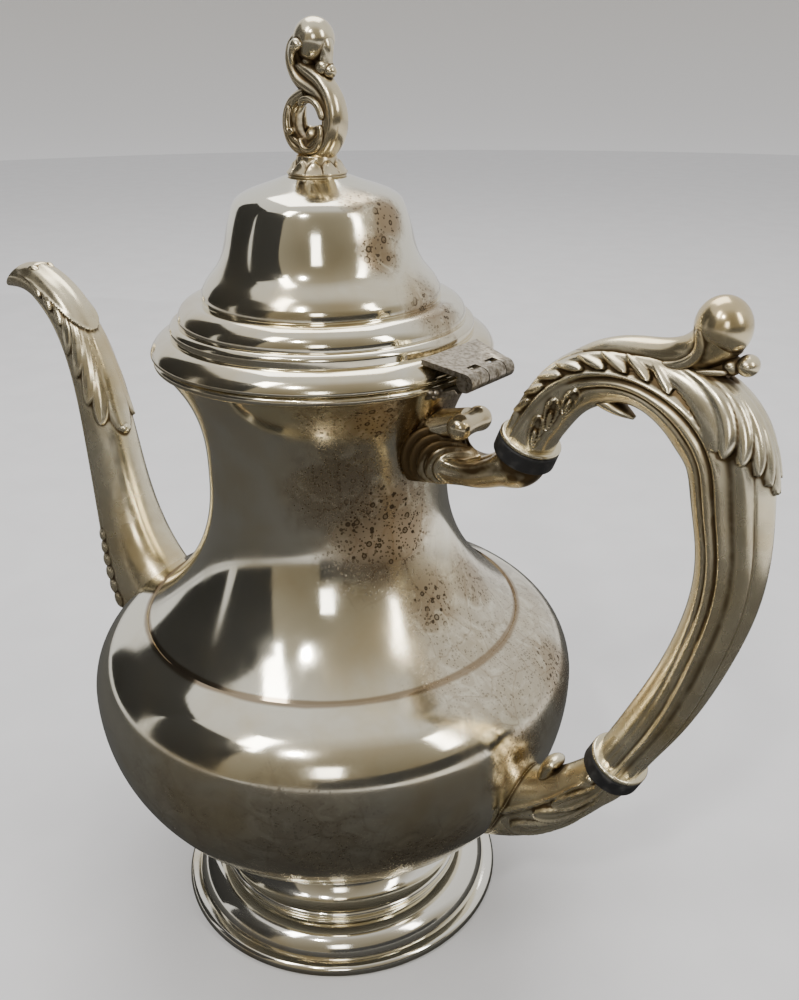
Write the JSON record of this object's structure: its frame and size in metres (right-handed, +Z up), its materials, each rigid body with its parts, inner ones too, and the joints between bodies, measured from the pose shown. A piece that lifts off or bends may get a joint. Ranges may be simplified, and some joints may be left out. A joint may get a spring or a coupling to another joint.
{
  "type": "coffee pot",
  "caption": "Footed silver-plated coffee pot with a hinged domed lid, an openwork finial, a leaf-cast spout and an insulated scroll handle.",
  "frame": {"origin": "on the pot's axis, in the plane that the foot stands on", "axes": "+X to the handle, -X to the spout, +Z up"},
  "size_m": [0.2925, 0.1516, 0.275],
  "materials": {
    "silver_plate": "polished",
    "cast_silver_plate": "polished",
    "black_insulator": "matte",
    "hinge_metal": "satin",
    "fixing_brass": "satin"
  },
  "bodies": {
    "pot": {"foot": "silver_plate", "foot_rim": "silver_plate", "foot_collar": "silver_plate", "belly_shell": "silver_plate", "neck_shell": "silver_plate", "mouth_rim": "silver_plate", "spout": "cast_silver_plate", "upper_socket": "cast_silver_plate", "lower_socket": "cast_silver_plate", "handle": "cast_silver_plate", "upper_handle_collar": "cast_silver_plate", "lower_handle_collar": "cast_silver_plate", "upper_insulator": "black_insulator", "lower_insulator": "black_insulator", "hinge_body_leaf": "hinge_metal", "hinge_pin": "hinge_metal", "upper_insulator_pins": "fixing_brass", "lower_insulator_pins": "fixing_brass"},
    "lid": {"lid_dome": "silver_plate", "lid_bezel": "silver_plate", "hinge_lid_leaf": "hinge_metal", "finial_collar": "cast_silver_plate", "finial": "cast_silver_plate", "finial_stud": "fixing_brass", "finial_washer": "fixing_brass", "finial_nut": "fixing_brass"}
  },
  "joints": [
    {"name": "lid_hinge", "type": "hinge", "parent": "pot", "child": "lid", "pos_m": [0.056, 0, 0.191], "axis": [0, 1, 0], "range_deg": [0, 95]}
  ]
}
